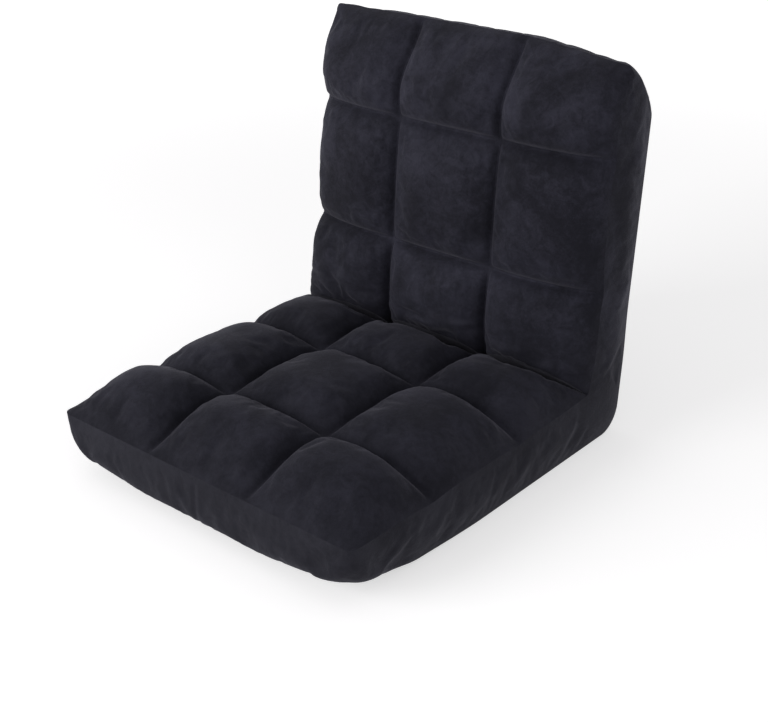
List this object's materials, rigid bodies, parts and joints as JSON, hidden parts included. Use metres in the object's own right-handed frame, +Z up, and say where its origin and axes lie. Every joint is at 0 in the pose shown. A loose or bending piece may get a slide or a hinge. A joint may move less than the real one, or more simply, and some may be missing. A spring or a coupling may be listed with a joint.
{
  "type": "folding floor chair",
  "caption": "Legless padded floor chair: tufted seat and backrest that join at two ratchet hinges, fold forward and lie flat.",
  "frame": {"origin": "on the floor under the middle of the chair's box, backrest in its most upright locked notch", "axes": "+X towards the sitter's left, -Y the way the sitter faces, +Z up"},
  "size_m": [0.51, 0.6228, 0.5462],
  "materials": {
    "velvet_top": "short-pile velvet, near-black navy, brushed nap",
    "velvet_boxing": "short-pile velvet, near-black navy, brushed nap",
    "pocket_velvet": "short-pile velvet, near-black navy",
    "foam": "open-cell polyurethane foam",
    "webbing": "woven polypropylene strap",
    "frame_tube": "black powder coat",
    "hinge_steel": "zinc-plated pressed steel",
    "rivet_steel": "zinc-plated rivet steel",
    "spring_steel": "blued spring steel"
  },
  "bodies": {
    "seat": {"pivot_rivet_left": "rivet_steel", "pivot_rivet_right": "rivet_steel", "pivot_washers_left": "rivet_steel", "pivot_washers_right": "rivet_steel", "ratchet_wheel_left": "hinge_steel", "ratchet_wheel_right": "hinge_steel", "seat_arm_left": "hinge_steel", "seat_arm_right": "hinge_steel", "seat_cover_base": "velvet_boxing", "seat_cross_tube": "frame_tube", "seat_foam_over_frame": "foam", "seat_foam_under_frame": "foam", "seat_frame_tube": "frame_tube", "seat_spigot_rivets": "rivet_steel", "seat_straps": "webbing", "seat_tuft_front_centre": "velvet_top", "seat_tuft_front_left": "velvet_top", "seat_tuft_front_right": "velvet_top", "seat_tuft_middle_centre": "velvet_top", "seat_tuft_middle_left": "velvet_top", "seat_tuft_middle_right": "velvet_top", "seat_tuft_rear_centre": "velvet_top", "seat_tuft_rear_left": "velvet_top", "seat_tuft_rear_right": "velvet_top", "wheel_rivets_left": "rivet_steel", "wheel_rivets_right": "rivet_steel"},
    "back": {"back_arm_left": "hinge_steel", "back_arm_right": "hinge_steel", "back_cover_base": "velvet_boxing", "back_cross_tube": "frame_tube", "back_foam_over_frame": "foam", "back_foam_under_frame": "foam", "back_frame_tube": "frame_tube", "back_spigot_rivets": "rivet_steel", "back_straps": "webbing", "back_tuft_low_centre": "velvet_top", "back_tuft_low_left": "velvet_top", "back_tuft_low_right": "velvet_top", "back_tuft_middle_centre": "velvet_top", "back_tuft_middle_left": "velvet_top", "back_tuft_middle_right": "velvet_top", "back_tuft_top_centre": "velvet_top", "back_tuft_top_left": "velvet_top", "back_tuft_top_right": "velvet_top", "pawl_pin_left": "rivet_steel", "pawl_pin_right": "rivet_steel", "pawl_spring_left": "spring_steel", "pawl_spring_right": "spring_steel", "rear_pocket": "pocket_velvet"},
    "release_cam_left": {"release_cam_left": "hinge_steel"},
    "release_cam_right": {"release_cam_right": "hinge_steel"},
    "pawl_left": {"pawl_left": "hinge_steel"},
    "pawl_right": {"pawl_right": "hinge_steel"}
  },
  "joints": [
    {"name": "recline", "type": "hinge", "parent": "seat", "child": "back", "pos_m": [0, 0.2316, 0.038], "axis": [-1, 0, 0], "range_deg": [-38.64, 85], "deforming": ["back_tuft_low_centre", "back_tuft_low_left", "back_tuft_low_right", "seat_tuft_rear_centre", "seat_tuft_rear_left", "seat_tuft_rear_right"]},
    {"name": "release_turn_left", "type": "hinge", "parent": "back", "child": "release_cam_left", "pos_m": [0, 0.2316, 0.038], "axis": [-1, 0, 0], "range_deg": [0, 20]},
    {"name": "release_turn_right", "type": "hinge", "parent": "back", "child": "release_cam_right", "pos_m": [0, 0.2316, 0.038], "axis": [-1, 0, 0], "range_deg": [0, 20]},
    {"name": "pawl_lift_left", "type": "hinge", "parent": "back", "child": "pawl_left", "pos_m": [0, 0.23404, 0.0659], "axis": [1, 0, 0], "range_deg": [0, 8.5], "deforming": ["pawl_spring_left"]},
    {"name": "pawl_lift_right", "type": "hinge", "parent": "back", "child": "pawl_right", "pos_m": [0, 0.23404, 0.0659], "axis": [1, 0, 0], "range_deg": [0, 8.5], "deforming": ["pawl_spring_right"]}
  ],
  "couplings": [
    {"joint": "release_turn_right", "follows": "release_turn_left", "ratio": 1},
    {"joint": "pawl_lift_left", "follows": "release_turn_left", "ratio": 0.425},
    {"joint": "pawl_lift_right", "follows": "release_turn_left", "ratio": 0.425}
  ]
}
